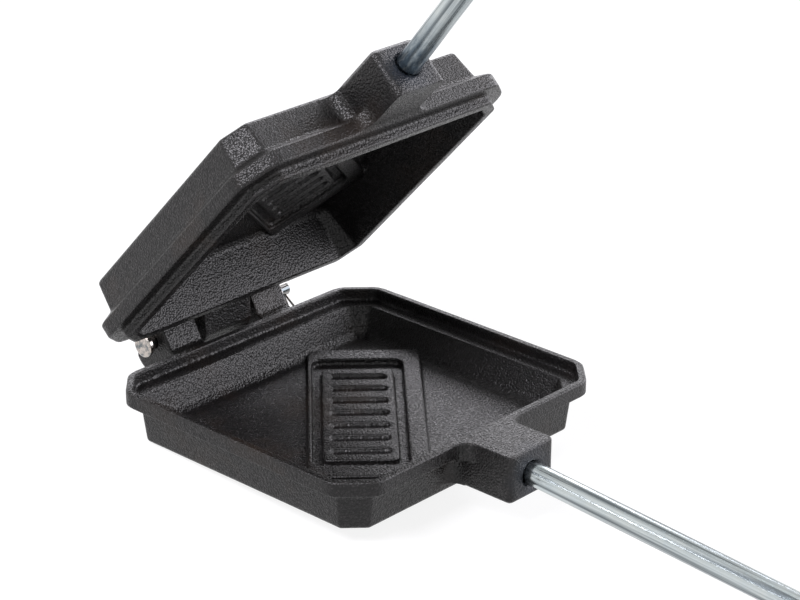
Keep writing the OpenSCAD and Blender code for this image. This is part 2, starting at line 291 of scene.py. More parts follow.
def geometry_tree(name, sizes):
    """A Geometry Nodes tree with named inputs. Returns the tree, its inputs' outputs by name, and its end."""
    tree = bpy.data.node_groups.new(name, "GeometryNodeTree")
    tree.interface.new_socket("Geometry", in_out="OUTPUT", socket_type="NodeSocketGeometry")
    tree.interface.new_socket("Geometry", in_out="INPUT", socket_type="NodeSocketGeometry")
    tree.interface.new_socket("Material", in_out="INPUT", socket_type="NodeSocketMaterial")
    for key, value in sizes.items():
        kind = "NodeSocketInt" if isinstance(value, int) else "NodeSocketFloat"
        tree.interface.new_socket(key, in_out="INPUT", socket_type=kind).default_value = value
    source = tree.nodes.new("NodeGroupInput")
    end = tree.nodes.new("NodeGroupOutput")
    return tree, {s.name: s for s in source.outputs}, end


def end_tree(tree, geometry, material, end):
    """Ends a tree in Realize Instances and Set Material."""
    real = add_node(tree, "GeometryNodeRealizeInstances", {"Geometry": geometry})
    painted = add_node(tree, "GeometryNodeSetMaterial", {"Geometry": real.outputs[0], "Material": material})
    tree.links.new(painted.outputs[0], end.inputs[0])


def run_tree(piece, tree, values):
    """Runs a tree on a piece with the given inputs and keeps the result as its plain mesh."""
    modifier = piece.modifiers.new(tree.name, "NODES")
    modifier.node_group = tree
    for item in tree.interface.items_tree:
        if item.item_type == "SOCKET" and item.in_out == "INPUT" and item.name in values:
            modifier[item.identifier] = values[item.name]
    freeze(piece)


# Materials.

# Iron: the grain's share of round knobs, its colours from pit to knob as shares of the iron's colour (the pits
# darkened as painted shade, the knobs with pale specks of the skin's own), and how much duller a pit and
# shinier a knob is.
KNOB_SHARE = 0.65
PAINTED_PIT_SHADE_AND_SPECKLE = ((0.45, 0.4), (0.66, 0.8), (0.76, 2.0), (0.86, 7.0))
PIT, KNOB, PIT_DULLER, KNOB_SHINIER = 0.5, 0.8, 0.13, 0.08
PATCH_SCALE, RUST_FROM, RUST_GAIN, RUST_COLOUR = 32, 0.55, 5, (0.034, 0.020, 0.012)
# Painted reflection: a bluish tint of each rod on the iron round its root, full within the inner radius, gone
# past the outer.
REFLECTION_INNER, REFLECTION_OUTER, REFLECTION_MOST = 1.2 * ROD_R, 2.8 * ROD_R, 0.8
IRON_SPECULAR = 0.32


def cast_iron(look):
    """Sand-cast iron under thin black seasoning: fine grain, painted pit shade, faint rust in places, painted
    rod reflections.
    """
    material, tree, shader, where = new_material("Cast iron")
    size = 1 / look.grain_size
    wander = noise_node(tree, where, size, 0.5)
    grains = add_node(tree, "ShaderNodeTexVoronoi", {"Vector": where, "Scale": size, "Randomness": 1.0})
    knobs = math_node(tree, "SUBTRACT", 1.0, math_node(tree, "POWER", grains.outputs["Distance"], 2.0))
    grain = math_node(tree, "MULTIPLY_ADD", knobs, KNOB_SHARE, math_node(
        tree, "MULTIPLY", wander, 1 - KNOB_SHARE))
    # Painted shade: the grain's colour is darker in its pits, and its knobs carry pale specks.
    colour = ramp_node(tree, grain, [(at, shaded(share, look.iron_colour)) for at, share in PAINTED_PIT_SHADE_AND_SPECKLE])

    patches = noise_node(tree, where, PATCH_SCALE, 3.0, 0.6)
    rusty = math_node(tree, "SUBTRACT", patches, RUST_FROM, clamp=True)
    rusty = math_node(tree, "MULTIPLY", rusty, look.rust * RUST_GAIN, clamp=True)
    colour = mix_colours(tree, rusty, colour, RUST_COLOUR)
    # Painted reflection of each rod, patchy, mixed into the iron's colour round the rod's root.
    for half in (LOWER, UPPER):
        away = distance_node(tree, where, tuple(rod_axis(half).translation))
        near = remap(tree, away, REFLECTION_INNER, REFLECTION_OUTER, REFLECTION_MOST, 0.0)
        colour = mix_colours(tree, math_node(tree, "MULTIPLY", near, patches), colour, look.painted_rod_reflection)

    rough = remap(tree, grain, PIT, KNOB, look.iron_roughness + PIT_DULLER, look.iron_roughness - KNOB_SHINIER)
    link_shader(tree, shader, colour, rough, grain, 1.0, look.grain_depth)
    shader.inputs["Specular IOR Level"].default_value = IRON_SPECULAR
    return material


# Zinc: scales of its streaks and blotches across and along the axis, the streaks' span and darkest colour,
# and the darker skin at a rod's root.
STREAK_SCALE, BLOTCH_SCALE, CLOUD_SCALE = (520, 520, 7), (900, 900, 260), 130
STREAK_FROM, STREAK_TO, STREAK_COLOUR = 0.42, 0.62, (0.13, 0.15, 0.16)
STREAK_DULLER, STREAK_MIDDLE = 0.16, 0.08
ROOT_FULL, ROOT_COLOUR, ROOT_DULLER = 0.2, (0.08, 0.11, 0.14), 0.14
ROOT_BLOTCHES, ROOT_LEAST = 1.6, 0.1
BLOTCH_HEIGHT, ZINC_BUMP, ZINC_DEPTH = 0.8, 0.5, 0.12 * MM


def zinc_plate(look, name, place, colour=None, root=0.0):
    """Bright zinc over drawn steel: streaks along the axis, two tints, and darker near a rod's root."""
    material, tree, shader, where = new_material(name)
    own = along_axis(tree, where, place)
    streaks = noise_node(tree, stretched(tree, own, STREAK_SCALE), 1.0, 3.0, 0.6)
    blotches = noise_node(tree, stretched(tree, own, BLOTCH_SCALE), 1.0, 2.0, 0.6)
    cloud = noise_node(tree, own, CLOUD_SCALE, 3.0, 0.6)
    tint = mix_colours(tree, cloud, colour or look.zinc_blue, colour or look.zinc_straw)
    base = mix_colours(tree, remap(tree, streaks, STREAK_FROM, STREAK_TO, 0.0, 1.0), tint, STREAK_COLOUR)
    rough = math_node(tree, "MULTIPLY_ADD", streaks, STREAK_DULLER, look.zinc_roughness - STREAK_MIDDLE)
    if root:
        height = add_node(tree, "ShaderNodeSeparateXYZ", {0: own}).outputs[2]
        near = remap(tree, height, ROOT_FULL * root, root, 1.0, 0.0)
        patchy = math_node(tree, "MULTIPLY_ADD", blotches, ROOT_BLOTCHES, ROOT_LEAST)
        patchy = math_node(tree, "MULTIPLY", near, patchy, clamp=True)
        base = mix_colours(tree, patchy, base, ROOT_COLOUR)
        rough = math_node(tree, "MULTIPLY_ADD", near, ROOT_DULLER, rough)
    relief = math_node(tree, "MULTIPLY_ADD", blotches, BLOTCH_HEIGHT, streaks)
    link_shader(tree, shader, base, rough, relief, ZINC_BUMP, ZINC_DEPTH)
    shader.inputs["Metallic"].default_value = 1.0
    return material


# Wood: the tree's heart beside the grip's axis, how its figure runs along the grip, and its varnish.
HEART, FIGURE_SCALE, PORE_SCALE = (0.021, 0.006, 0), (1, 1, 0.07), (1500, 1500, 60)
WANDER_SCALE, RING_WANDER, RING_CONTRAST = 55, 4.5, 1.5
FIBRE_SHARE, FIBRE_SHADE = 0.45, 0.55
WOOD_ROUGH, FIBRE_DULLER, WOOD_BUMP, WOOD_DEPTH = 0.32, 0.2, 0.35, 0.12 * MM
VARNISH, VARNISH_ROUGH = 0.35, 0.18


def turned_wood(look, name, place):
    """Varnished hardwood, its grain along the grip."""
    material, tree, shader, where = new_material(name)
    figure = stretched(tree, along_axis(tree, where, place @ Matrix.Translation(HEART)), FIGURE_SCALE)
    wander = noise_node(tree, figure, WANDER_SCALE, 3.0, 0.55)
    x, y, _ = add_node(tree, "ShaderNodeSeparateXYZ", {0: figure}).outputs
    radius = math_node(tree, "SQRT", math_node(tree, "MULTIPLY_ADD", x, x, math_node(tree, "MULTIPLY", y, y)))
    rings = math_node(tree, "MULTIPLY_ADD", radius, 1 / look.ring_spacing, math_node(
        tree, "MULTIPLY", wander, RING_WANDER))
    rings = math_node(tree, "PINGPONG", rings, 0.5)
    fibres = noise_node(tree, stretched(tree, along_axis(tree, where, place), PORE_SCALE), 1.0, 2.0, 0.6)
    wood = mix_colours(tree, math_node(tree, "MULTIPLY", rings, RING_CONTRAST, clamp=True),
                       look.wood_pale, look.wood_dark)
    wood = mix_colours(tree, math_node(tree, "MULTIPLY", fibres, FIBRE_SHARE), wood,
                       shaded(FIBRE_SHADE, look.wood_dark))
    rough = math_node(tree, "MULTIPLY_ADD", fibres, FIBRE_DULLER, WOOD_ROUGH)
    link_shader(tree, shader, wood, rough, fibres, WOOD_BUMP, WOOD_DEPTH)
    shader.inputs["Coat Weight"].default_value = VARNISH
    shader.inputs["Coat Roughness"].default_value = VARNISH_ROUGH
    return material


# What a user of the add-on can change.


class PieIronLook(bpy.types.PropertyGroup):
    """Colours, grain and finishes."""

    grain_size: bpy.props.FloatProperty(
        name="Grain size", description="Size of a grain of the iron's cast skin", default=0.0007,
        min=0.0001, max=0.003, unit="LENGTH", precision=5)
    grain_depth: bpy.props.FloatProperty(
        name="Grain depth", description="Depth of the grain of the iron's cast skin", default=0.00031,
        min=0, max=0.002, unit="LENGTH", precision=5)
    iron_colour: bpy.props.FloatVectorProperty(
        name="Iron", description="Colour of the seasoned iron", default=(0.0046, 0.0041, 0.0041),
        subtype="COLOR", min=0, max=1)
    iron_roughness: bpy.props.FloatProperty(
        name="Iron roughness", description="Roughness of the seasoned iron", default=0.32,
        min=0.25, max=0.7, subtype="FACTOR")
    rust: bpy.props.FloatProperty(
        name="Rust", description="How far thin rust shows through the seasoning", default=0.35,
        min=0, max=1, subtype="FACTOR")
    skin_wave: bpy.props.FloatProperty(
        name="Skin unevenness", description="Depth of the shallow waves in the cast faces", default=0.00012,
        min=0, max=0.001, unit="LENGTH", precision=5)
    # A painted reflection: the colour of a rod, painted on the iron round its root.
    painted_rod_reflection: bpy.props.FloatVectorProperty(
        name="Painted rod reflection", description="Colour of a rod painted on the iron round its root as its reflection",
        default=(0.035, 0.045, 0.065), subtype="COLOR", min=0, max=1)
    zinc_blue: bpy.props.FloatVectorProperty(
        name="Zinc, cool", description="Cooler tint of the zinc plate", default=(0.46, 0.53, 0.57),
        subtype="COLOR", min=0, max=1)
    zinc_straw: bpy.props.FloatVectorProperty(
        name="Zinc, warm", description="Warmer tint of the zinc plate", default=(0.60, 0.62, 0.59),
        subtype="COLOR", min=0, max=1)
    zinc_roughness: bpy.props.FloatProperty(
        name="Zinc roughness", description="Roughness of the zinc plate", default=0.19,
        min=0.1, max=0.6, subtype="FACTOR")
    pin_colour: bpy.props.FloatVectorProperty(
        name="Hinge pin", description="Colour of the hinge pin", default=(0.52, 0.47, 0.43),
        subtype="COLOR", min=0, max=1)
    wood_pale: bpy.props.FloatVectorProperty(
        name="Wood, pale", description="Paler colour of the grips", default=(0.50, 0.27, 0.11),
        subtype="COLOR", min=0, max=1)
    wood_dark: bpy.props.FloatVectorProperty(
        name="Wood, dark", description="Darker colour of the grips' grain", default=(0.29, 0.135, 0.05),
        subtype="COLOR", min=0, max=1)
    ring_spacing: bpy.props.FloatProperty(
        name="Ring spacing", description="Distance between the year rings of the grips", default=0.0021,
        min=0.0005, max=0.01, unit="LENGTH", precision=5)


class PieIronSizes(bpy.types.PropertyGroup):
    """Sizes of details that the frame leaves open."""

    cast_cell: bpy.props.FloatProperty(
        name="Casting cell",
        description="Cell of the pans' fine mesh, which also sets how round their edges are",
        default=0.0005, min=0.0003, max=0.002, unit="LENGTH", precision=5)
    edge_rounds: bpy.props.IntProperty(
        name="Edge rounding", description="Rounds of smoothing on the cast edges", default=2, min=0, max=20)
    pan_faces: bpy.props.IntProperty(
        name="Pan triangles", description="Most triangles that a pan may have", default=190000,
        min=20000, max=199000)
    thread_pitch: bpy.props.FloatProperty(
        name="Thread pitch", description="Pitch of the rods' screw thread", default=0.00141,
        min=0.0005, max=0.003, unit="LENGTH", precision=5)
    thread_depth: bpy.props.FloatProperty(
        name="Thread depth", description="Depth of the rods' screw thread", default=0.0004,
        min=0, max=0.001, unit="LENGTH", precision=5)
    thread_shown: bpy.props.FloatProperty(
        name="Thread shown", description="Length of thread left outside the upper boss", default=0.0006,
        min=0, max=0.02, unit="LENGTH", precision=5)
    wire: bpy.props.FloatProperty(
        name="Cotter wire", description="Radius of the cotter pin's wire", default=0.00042,
        min=0.0002, max=0.0006, unit="LENGTH", precision=5)


class PieIronStage(bpy.types.PropertyGroup):
    """Floor, lamps and camera."""

    light: bpy.props.FloatProperty(
        name="Light", description="Level of all the lamps together", default=1.0,
        min=0, max=5, subtype="FACTOR")
    key: bpy.props.FloatProperty(
        name="Key", description="Power of the small lamp above the camera", default=24, min=0, unit="POWER")
    line: bpy.props.FloatProperty(
        name="Line", description="Power of the narrow lamp that draws a line on the rods", default=2.5,
        min=0, unit="POWER")
    ambient: bpy.props.FloatProperty(
        name="Ambient", description="Strength of the light from all round", default=0.05,
        min=0, max=1, subtype="FACTOR")
    camera_place: bpy.props.FloatVectorProperty(
        name="Camera place", description="Where the camera stands", default=(0.260282, -0.580866, 0.43728),
        subtype="TRANSLATION", unit="LENGTH")
    camera_turn: bpy.props.FloatVectorProperty(
        name="Camera turn", description="How the camera is turned",
        default=(math.radians(64.04483), math.radians(-2.65037), math.radians(43.10986)), subtype="EULER")
    camera_lens: bpy.props.FloatProperty(
        name="Lens", description="Focal length in millimetres on a 36 mm sensor", default=119.2755,
        min=20, max=400)


# The pans. In the looks only, each lug's brow is drawn back by LUG_EASE, which leaves a gap to the rim
# and a steeper front.

LUG_BROW, LUG_EASE = (HINGE_X + 11.5 * MM, HINGE_RISE + 0.4 * MM), (-2.2 * MM, 0, -1.2 * MM)
BROW_REACH = 0.05 * MM
SAME_POINT = 0.002 * MM


def skin_tree():
    """Shallow waves in a cast face, always inwards, so that the casting keeps its box."""
    tree, given, end = geometry_tree("Cast skin", {"Depth": 0.0001, "Wave size": 0.012, "Seed": 3})
    place = add_node(tree, "GeometryNodeInputPosition").outputs[0]
    per_metre = math_node(tree, "DIVIDE", 1.0, given["Wave size"])
    waves = add_node(tree, "ShaderNodeTexNoise", {"Vector": place, "Scale": per_metre, "W": given["Seed"]},
                     noise_dimensions="4D").outputs["Fac"]
    inwards = math_node(tree, "MULTIPLY", math_node(tree, "MULTIPLY", waves, given["Depth"]), -1.0)
    normal = add_node(tree, "GeometryNodeInputNormal").outputs[0]
    offset = add_node(tree, "ShaderNodeVectorMath", {0: normal, "Scale": inwards}, operation="SCALE").outputs[0]
    moved = add_node(tree, "GeometryNodeSetPosition", {"Geometry": given["Geometry"], "Offset": offset})
    end_tree(tree, moved.outputs[0], given["Material"], end)
    return tree


def pan_mesh(node, half, turn):
    """A merged copy of a CAD pan in its own axes."""
    bm = bmesh.new()
    bm.from_mesh(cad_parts[node].data)
    bmesh.ops.remove_doubles(bm, verts=bm.verts, dist=SAME_POINT)
    bm.transform(turn.inverted())
    if half == LOWER:
        brow_x, brow_z = LUG_BROW
        for vert in bm.verts:
            if abs(vert.co.x - brow_x) < BROW_REACH and abs(vert.co.z - brow_z) < BROW_REACH:
                vert.co += Vector(LUG_EASE)
    bmesh.ops.recalc_face_normals(bm, faces=bm.faces)
    mesh = bpy.data.meshes.new(node + "_cast")
    bm.to_mesh(mesh)
    bm.free()
    return mesh


def cast_pan(node, half, turn, material, sizes, look, tree):
    """A pan with the soft edges and uneven faces of a sand casting, from the frame's own solid."""
    piece = new_object(node + "_cast", pan_mesh(node, half, turn))
    remesh = piece.modifiers.new("Cells", "REMESH")
    remesh.mode = "VOXEL"
    remesh.voxel_size = sizes.cast_cell
    smooth = piece.modifiers.new("Rounds", "SMOOTH")
    smooth.factor = 0.5
    smooth.iterations = sizes.edge_rounds
    freeze(piece)
    run_tree(piece, tree, {"Depth": look.skin_wave, "Material": material})
    triangles = 2 * len(piece.data.polygons)
    if triangles > sizes.pan_faces:
        thin = piece.modifiers.new("Thin", "DECIMATE")
        thin.ratio = sizes.pan_faces / triangles
        freeze(piece)
    piece.data.transform(turn)
    if turn.determinant() < 0:
        piece.data.flip_normals()
    finish_piece(piece, half, material, node, sharp=0)


class PIE_IRON_OT_pans(bpy.types.Operator):
    """Make both cast pans from the frame's solids"""

    bl_idname = "pie_iron.pans"
    bl_label = "Cast Pans"

    def execute(self, context):
        look, sizes = context.scene.pie_iron_look, context.scene.pie_iron_sizes
        material, tree = cast_iron(look), skin_tree()
        cast_pan("lower_pan", LOWER, set_down(), material, sizes, look, tree)
        cast_pan("upper_pan", UPPER, swung_open(), material, sizes, look, tree)
        return {"FINISHED"}


# The rods. A thin collar stands round each where it leaves its boss, and the upper one has a darker root.

COLLAR_PLACE, LOWER_COLLAR, UPPER_COLLAR, UPPER_ROOT = 0.4 * MM, 0.4 * MM, 0.3 * MM, 26 * MM


def rod_tree():
    """A round rod along +Z: a screw thread on its first stretch, then a small collar and a plain shank."""
    tree, given, end = geometry_tree("Threaded rod", {
        "Radius": 0.004, "Start": -0.02, "Threaded": 0.02, "Length": 0.5, "Pitch": 0.0014, "Depth": 0.0005,
        "Collar": 0.0003, "Collar place": 0.0005, "Collar reach": 0.0006, "Sides": 64, "Rows": 440})

    def calc(operation, *values, clamp=False):
        return math_node(tree, operation, *values, clamp=clamp)

    # A bar one high, whose lower half of rows becomes the threaded stretch and upper half the shank.
    bar = add_node(tree, "GeometryNodeMeshCylinder", {
        "Vertices": given["Sides"], "Side Segments": given["Rows"], "Radius": 1.0, "Depth": 1.0},
        fill_type="NGON")
    at = add_node(tree, "GeometryNodeInputPosition").outputs[0]
    x, y, z = add_node(tree, "ShaderNodeSeparateXYZ", {0: at}).outputs
    share = calc("ADD", z, 0.5)
    first = calc("MULTIPLY", calc("MINIMUM", share, 0.5), 2.0)
    second = calc("MULTIPLY", calc("SUBTRACT", calc("MAXIMUM", share, 0.5), 0.5), 2.0)
    plain = calc("SUBTRACT", given["Length"], given["Threaded"])
    height = calc("MULTIPLY_ADD", first, given["Threaded"], calc("MULTIPLY_ADD", second, plain, given["Start"]))

    # The thread winds once a pitch and runs out over its last turn.
    winding = calc("DIVIDE", calc("ARCTAN2", y, x), 2 * math.pi)
    phase = calc("SUBTRACT", calc("DIVIDE", height, given["Pitch"]), winding)
    groove = calc("MULTIPLY", calc("PINGPONG", phase, 0.5), 2.0)
    last = calc("ADD", given["Start"], given["Threaded"])
    left = calc("DIVIDE", calc("SUBTRACT", last, height), given["Pitch"], clamp=True)
    cut = calc("MULTIPLY", calc("MULTIPLY", groove, left), given["Depth"])

    away = calc("ABSOLUTE", calc("SUBTRACT", height, given["Collar place"]))
    ring = calc("SUBTRACT", 1.0, calc("DIVIDE", away, given["Collar reach"]), clamp=True)
    raised = calc("MULTIPLY", calc("SQRT", ring), given["Collar"])
    radius = calc("ADD", calc("SUBTRACT", given["Radius"], cut), raised)

    place = add_node(tree, "ShaderNodeCombineXYZ", {
        0: calc("MULTIPLY", x, radius), 1: calc("MULTIPLY", y, radius), 2: height})
    moved = add_node(tree, "GeometryNodeSetPosition", {
        "Geometry": bar.outputs[0], "Position": place.outputs[0]})
    end_tree(tree, moved.outputs[0], given["Material"], end)
    return tree


class PIE_IRON_OT_rods(bpy.types.Operator):
    """Make the two plated rods, whose screw threads end in the bosses"""

    bl_idname = "pie_iron.rods"
    bl_label = "Rods"

    def execute(self, context):
        look, sizes = context.scene.pie_iron_look, context.scene.pie_iron_sizes
        tree = rod_tree()
        for half, node, shown, collar, root in (
            (LOWER, "lower_rod", 0.0, LOWER_COLLAR, 0.0),
            (UPPER, "upper_rod", sizes.thread_shown, UPPER_COLLAR, UPPER_ROOT),
        ):
            place = rod_axis(half)
            piece = new_object(node + "_plated", bpy.data.meshes.new(node))
            material = zinc_plate(look, "Zinc plate, " + node.replace("_", " "), place, root=root)
            run_tree(piece, tree, {
                "Material": material, "Radius": ROD_R, "Start": -SOCKET_DEPTH, "Threaded": SOCKET_DEPTH + shown,
                "Length": SOCKET_DEPTH + ROD_END, "Pitch": sizes.thread_pitch, "Depth": sizes.thread_depth,
                "Collar": collar, "Collar place": COLLAR_PLACE})
            piece.data.transform(place)
            finish_piece(piece, half, material, node, sharp=50)
        return {"FINISHED"}


# The hinge. HEAD_FLAT and HEAD_SIDE are shares of the pin head's radius and thickness, COTTER_GAP is one of
# the wire's radius, LEG_BEND one of the leg's length, and the eye's start and sweep are degrees.

PIN_SIDES = 64
HEAD_FLAT, HEAD_SIDE, PIN_POINT_IN, PIN_POINT_L, PIN_EASE = 0.8, 0.72, 0.7 * MM, 0.6 * MM, 0.35 * MM
WASHER_FIT, WASHER_EASE = 0.25 * MM, 0.25 * MM
COTTER_PAST, COTTER_GAP = 0.8 * MM, 0.96
LEG_L, LEG_SPREAD, LEG_BEND = 5.5 * MM, math.radians(16), 0.6
EYE_R, EYE_NECK, EYE_START, EYE_SWEEP, EYE_STEPS = 1.5 * MM, 0.2 * MM, -62, 304, 22
COTTER_SHADE = 0.8


def pin_profile():
    """The hinge pin: a head with a bevelled edge, a plain shank and a pointed end."""
    head = -LUG_OUT - HEAD_GAP
    face = head - PIN_HEAD_T
    return fillets([
        (0, face), (PIN_HEAD_R * HEAD_FLAT, face), (PIN_HEAD_R, head - PIN_HEAD_T * HEAD_SIDE),
        (PIN_HEAD_R, head), (PIN_R, head), (PIN_R, PIN_END - PIN_POINT_L),
        (PIN_R - PIN_POINT_IN, PIN_END), (0, PIN_END)], PIN_EASE)


def washer_profile():
    """The washer beyond the far lug, as a closed ring."""
    low, bore = LUG_OUT + END_PLAY, PIN_R + WASHER_FIT
    middle, high = low + WASHER_T / 2, low + WASHER_T
    return fillets([
        (bore, middle), (bore, low), (WASHER_R, low), (WASHER_R, high), (bore, high), (bore, middle)],
        WASHER_EASE)[:-1]


def cotter_route(wire):
    """The cotter's wire in its own axes: a spread leg, the shank, the eye, and down to the other leg."""
    shank, half_gap = PIN_R + COTTER_PAST, wire * COTTER_GAP
    side = [
        Vector((half_gap + leg * math.sin(LEG_SPREAD), 0, -shank - leg * math.cos(LEG_SPREAD)))
        for leg in (LEG_L, LEG_BEND * LEG_L, 0)
    ] + [Vector((half_gap, 0, 0)), Vector((half_gap, 0, shank - EYE_NECK))]
    eye = [
        Vector((EYE_R * math.cos(a), 0, shank + EYE_R + EYE_R * math.sin(a)))
        for a in (math.radians(EYE_START + EYE_SWEEP * i / EYE_STEPS) for i in range(EYE_STEPS + 1))
    ]
    return side + eye + [Vector((-p.x, 0, p.z)) for p in reversed(side)]


def bent_wire(name, route, wire, place):
    """A round wire along a route, with closed ends."""
    curve = bpy.data.curves.new(name, "CURVE")
    curve.dimensions = "3D"
    curve.bevel_depth = wire
    curve.bevel_resolution = 5
    curve.use_fill_caps = True
    spline = curve.splines.new("NURBS")
    spline.points.add(len(route) - 1)
    for point, at in zip(spline.points, route):
        point.co = (*at, 1)
    spline.use_endpoint_u = True
    spline.order_u = 3
    spline.resolution_u = 4
    bent = new_object(name + "_route", curve)
    mesh = evaluated_mesh(bent)
    bpy.data.objects.remove(bent)
    mesh.transform(place)
    return new_object(name, mesh)


class PIE_IRON_OT_hinge(bpy.types.Operator):
    """Make the hinge pin, its washer and its cotter pin"""

    bl_idname = "pie_iron.hinge"
    bl_label = "Hinge"

    def execute(self, context):
        look, sizes = context.scene.pie_iron_look, context.scene.pie_iron_sizes
        place = hinge_axis()
        plate = zinc_plate(look, "Hinge pin plate", place, colour=look.pin_colour)
        pin = lathe("hinge_pin_turned", pin_profile(), place, PIN_SIDES)
        finish_piece(pin, LOWER, plate, "hinge_pin", sharp=50)
        washer = lathe("hinge_washer_pressed", washer_profile(), place, PIN_SIDES)
        finish_piece(washer, LOWER, plate, "hinge_washer", sharp=50)

        across = (
            place
            @ Matrix.Translation((0, 0, COTTER_Y))
            @ Matrix.Rotation(-COTTER_TURN, 4, "Z")
            @ Matrix.Rotation(math.pi / 2, 4, "X")
        )
        cotter = bent_wire("cotter_pin_bent", cotter_route(sizes.wire), sizes.wire, across)
        plate = zinc_plate(look, "Cotter plate", across, colour=shaded(COTTER_SHADE, look.pin_colour))
        finish_piece(cotter, LOWER, plate, "cotter_pin", sharp=60)
        return {"FINISHED"}


# The grips and ferrules. A ferrule's shoulder is given as steps (in from its radius, along from its end).

GRIP_SIDES, FERRULE_SIDES = 128, 96
ROD_FIT, ROD_END_GAP, TENON_FIT, TENON_BEVEL, NECK_STEP = 0.03 * MM, 0.1 * MM, 0.05 * MM, 0.4 * MM, 0.35 * MM
SWELL_ROWS, SWELL_EARLY, TAIL_ROWS, TAIL_FLAT = 70, 0.8, 16, 4 * MM
FERRULE_END, FERRULE_EASE = 1 * MM, 0.3 * MM
FERRULE_SHOULDER = ((2.2 * MM, 0), (0.6 * MM, 0.7 * MM), (0, 2.4 * MM))


def grip_profile():
    """The bored grip: a tenon under the ferrule, a slim neck, a long swell and a round tail."""
    start, tail = ROD_REACH - GRIP_L, ROD_REACH
    bottom, mouth, bore = ROD_END - ROD_END_GAP, start + FERRULE_END - FERRULE_L, ROD_R + ROD_FIT
    tenon = FERRULE_R - FERRULE_T - TENON_FIT
    out = [(0, bottom), (bore, bottom), (bore, mouth), (tenon - TENON_BEVEL, mouth),
           (tenon, mouth + TENON_BEVEL), (tenon, start), (FERRULE_R - NECK_STEP, start)]
    body = GRIP_L - GRIP_SWELL
    for i in range(SWELL_ROWS + 1):
        u = i / SWELL_ROWS
        radius = FERRULE_R + (GRIP_R - FERRULE_R) * (0.5 - 0.5 * math.cos(math.pi * u ** SWELL_EARLY))
        out.append((radius, start + NECK_STEP + (body - NECK_STEP) * u))
    for i in range(1, TAIL_ROWS + 1):
        a = math.pi / 2 * i / TAIL_ROWS
        radius = GRIP_TAIL_R + (GRIP_R - GRIP_TAIL_R) * math.cos(a)
        out.append((radius, start + body + GRIP_SWELL * math.sin(a)))
    return out + [(TAIL_FLAT, tail), (0, tail)]


def ferrule_profile():
    """A pressed cup with a hole for the rod, as a closed ring."""
    start = ROD_REACH - GRIP_L - FERRULE_L
    middle, floor, rim = start + FERRULE_END / 2, start + FERRULE_END, start + FERRULE_L
    inner, hole = FERRULE_R - FERRULE_T, ROD_R + ROD_FIT
    shoulder = [(FERRULE_R - inset, start + along) for inset, along in FERRULE_SHOULDER]
    return fillets([
        (hole, middle), (hole, start), *shoulder, (FERRULE_R, rim), (inner, rim), (inner, floor),
        (hole, floor), (hole, middle)], FERRULE_EASE)[:-1]


class PIE_IRON_OT_grips(bpy.types.Operator):
    """Make the turned wooden grips, their ferrules and the finish of the pins across them"""

    bl_idname = "pie_iron.grips"
    bl_label = "Grips"

    def execute(self, context):
        look = context.scene.pie_iron_look
        for half, side in ((LOWER, "lower"), (UPPER, "upper")):
            place = rod_axis(half)
            grip = lathe(side + "_grip_turned", grip_profile(), place, GRIP_SIDES)
            wood = turned_wood(look, f"Turned wood, {side} grip", place)
            finish_piece(grip, half, wood, side + "_grip", sharp=45)
            ferrule = lathe(side + "_ferrule_pressed", ferrule_profile(), place, FERRULE_SIDES)
            plate = zinc_plate(look, f"Zinc plate, {side} ferrule", place)
            finish_piece(ferrule, half, plate, side + "_ferrule", sharp=50)
            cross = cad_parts[side + "_grip_pin"]
            cross.data.materials.clear()
            cross.data.materials.append(plate)
        return {"FINISHED"}


# The stage. The lamps aim at MIDDLE. Where it is seen, the floor is nearly white by itself, up to white
# further off, and the rest is lit, so that the object's shadow shows. To all other light it is plain paper.

WHITE = (1, 1, 1, 1)
MIDDLE = (-0.25, 0, 0.05)
FLOOR_REACH, FLOOR_DROP = 20, 0.1 * MM
FLOOR_PAPER, FLOOR_LIT, FLOOR_GLOW, GLOW_NEAR, GLOW_FAR = 0.86, 0.2, 0.86, 0.7, 1.4
LAMP_COLOUR = (0.955, 0.935, 1.0)
# Each lamp's azimuth and height in degrees, its distance, and its width and height. The fills also have watts.
KEY_PLACE = (267, 50, 1.5, (0.6, 0.6))
LINE_PLACE = (243, 29, 1.3, (1.2, 0.05))
FILLS = (
    ("Right", (44, 15, 1.6, (1.5, 0.8)), 18),
    ("Back", (90, 9, 1.6, (0.9, 0.6)), 9),
    ("Table", (133, 26, 1.6, (0.9, 0.45)), 7.5),
    ("Boss", (68, 41, 1.6, (0.7, 0.6)), 9.5),
    ("Rear", (150, 9, 1.6, (0.9, 0.5)), 2),
    ("End", (0, 43, 1.6, (0.9, 0.8)), 1.5),
)


def lamp(name, place, power):
    """A soft lamp that faces the pans."""
    azimuth, height, away, size = place
    data = bpy.data.lights.new(name, "AREA")
    data.shape = "RECTANGLE"
    data.size, data.size_y = size
    data.energy = power
    data.color = LAMP_COLOUR
    light = bpy.data.objects.new(name, data)
    turn, rise = math.radians(azimuth), math.radians(height)
    towards = Vector((math.cos(rise) * math.cos(turn), math.cos(rise) * math.sin(turn), math.sin(rise)))
    light.location = Vector(MIDDLE) + away * towards
    light.rotation_euler = towards.to_track_quat("Z", "Y").to_euler()
    light.visible_camera = False
    bpy.context.scene.collection.objects.link(light)


def seen_directly(tree):
    """1 for camera rays and for the rays that a gloss or a glass sends on."""
    path = add_node(tree, "ShaderNodeLightPath")
    seen = math_node(tree, "MAXIMUM", path.outputs["Is Camera Ray"], path.outputs["Is Glossy Ray"])
    return math_node(tree, "MAXIMUM", seen, path.outputs["Is Transmission Ray"])


def grey(level):
    return (level, level, level, 1)


